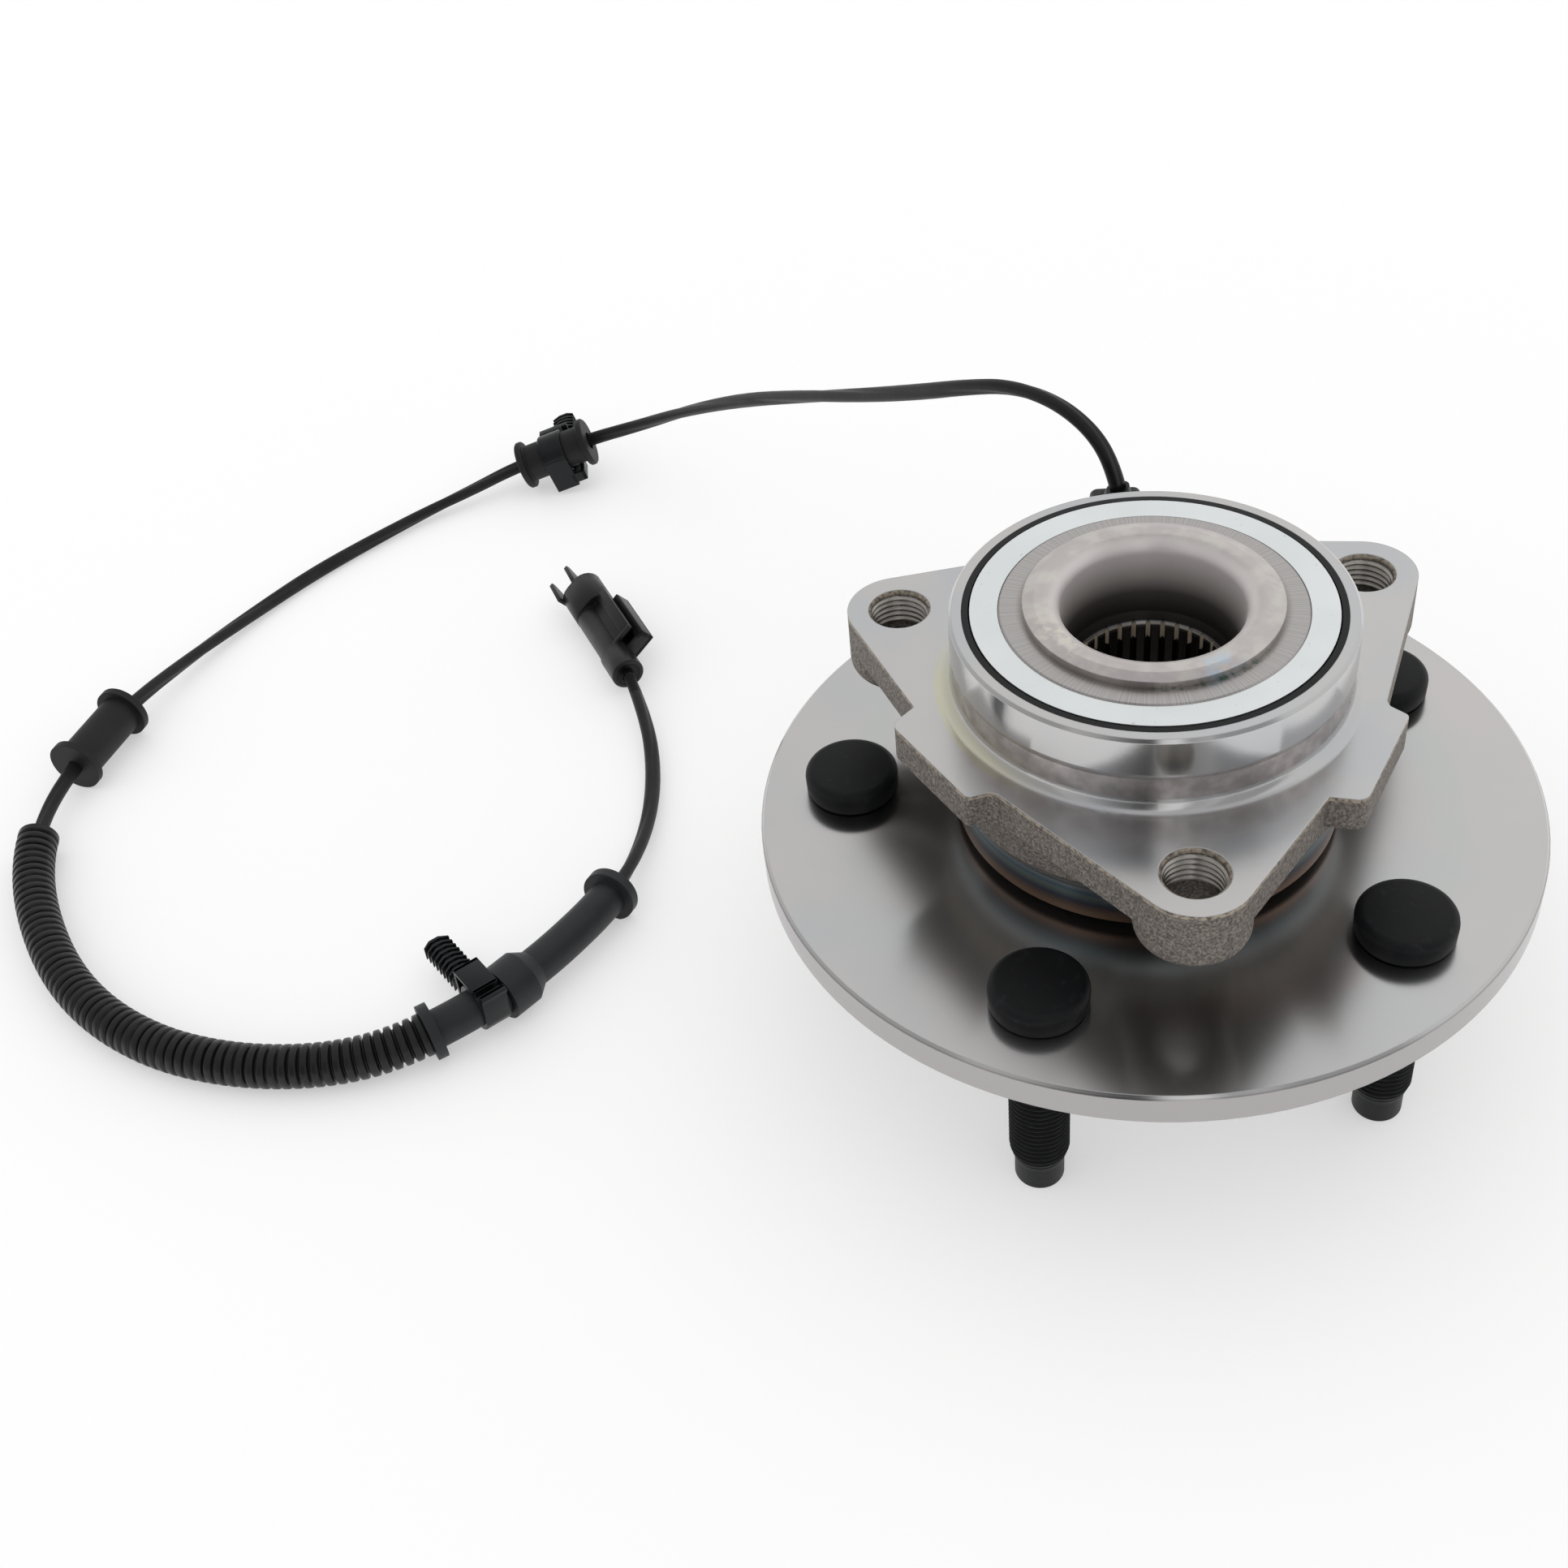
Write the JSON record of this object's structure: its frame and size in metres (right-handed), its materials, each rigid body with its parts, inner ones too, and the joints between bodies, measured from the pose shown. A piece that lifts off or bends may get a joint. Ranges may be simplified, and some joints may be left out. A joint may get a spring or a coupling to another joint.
{
  "type": "wheel hub bearing",
  "caption": "Driven wheel hub bearing unit: flanged hub with wheel studs, splined bore, lobed knuckle flange, sealed ball rows, and a speed sensor lead with grommets, conduit and connector",
  "frame": {"origin": "on the spin axis, in the plane of the wheel stud tips that the unit stands on", "axes": "+Z is the spin axis and points inboard, to the steering knuckle; the wheel side faces -Z; X and Y are level, the sensor sits near +Y"},
  "size_m": [0.4152, 0.3023, 0.1192],
  "materials": {
    "forged_steel": "turned and forged bare steel, oiled",
    "bearing_steel": "ground hardened steel",
    "phosphate": "black phosphate coating, lightly oiled",
    "zinc_plate": "thin bright zinc plate",
    "seal_rubber": "moulded black nitrile",
    "cage_plastic": "glass-filled nylon",
    "sensor_plastic": "moulded black nylon",
    "brass_pin": "tinned brass",
    "lead_jacket": "semi-gloss black jacket",
    "grommet_rubber": "matte charcoal rubber",
    "clip_plastic": "black acetal, satin gloss",
    "conduit_plastic": "corrugated black polypropylene"
  },
  "bodies": {
    "knuckle_side": {"outer_ring": "forged_steel", "outboard_seal_case": "zinc_plate", "outboard_seal_rubber": "seal_rubber", "inboard_seal_case": "zinc_plate", "inboard_seal_rubber": "seal_rubber", "sensor_body": "sensor_plastic", "sensor_pole_tip": "bearing_steel", "sensor_o_ring": "seal_rubber", "sensor_bushing": "zinc_plate", "sensor_screw": "zinc_plate", "cable_gland": "seal_rubber", "sensor_cable": "lead_jacket", "grommet_1": "grommet_rubber", "grommet_2": "grommet_rubber", "grommet_3": "grommet_rubber", "conduit": "conduit_plastic", "clip_1": "clip_plastic", "clip_2": "clip_plastic", "connector_housing": "sensor_plastic", "connector_rear_seal": "seal_rubber", "connector_terminals": "brass_pin"},
    "hub": {"hub_flange": "forged_steel", "inner_ring": "bearing_steel", "tone_ring": "bearing_steel", "inboard_slinger": "zinc_plate", "wheel_stud_1": "phosphate", "wheel_stud_2": "phosphate", "wheel_stud_3": "phosphate", "wheel_stud_4": "phosphate", "wheel_stud_5": "phosphate"},
    "outboard_ball_set": {"outboard_cage": "cage_plastic", "outboard_balls": "bearing_steel"},
    "inboard_ball_set": {"inboard_cage": "cage_plastic", "inboard_balls": "bearing_steel"}
  },
  "joints": [
    {"name": "hub_spin", "type": "hinge", "parent": "knuckle_side", "child": "hub", "pos_m": [0, 0, 0.087], "axis": [0, 0, 1], "continuous": true},
    {"name": "outboard_cage_spin", "type": "hinge", "parent": "knuckle_side", "child": "outboard_ball_set", "pos_m": [0, 0, 0.0715], "axis": [0, 0, 1], "continuous": true},
    {"name": "inboard_cage_spin", "type": "hinge", "parent": "knuckle_side", "child": "inboard_ball_set", "pos_m": [0, 0, 0.102], "axis": [0, 0, 1], "continuous": true}
  ],
  "couplings": [
    {"joint": "outboard_cage_spin", "follows": "hub_spin", "ratio": 0.427},
    {"joint": "inboard_cage_spin", "follows": "hub_spin", "ratio": 0.427}
  ]
}
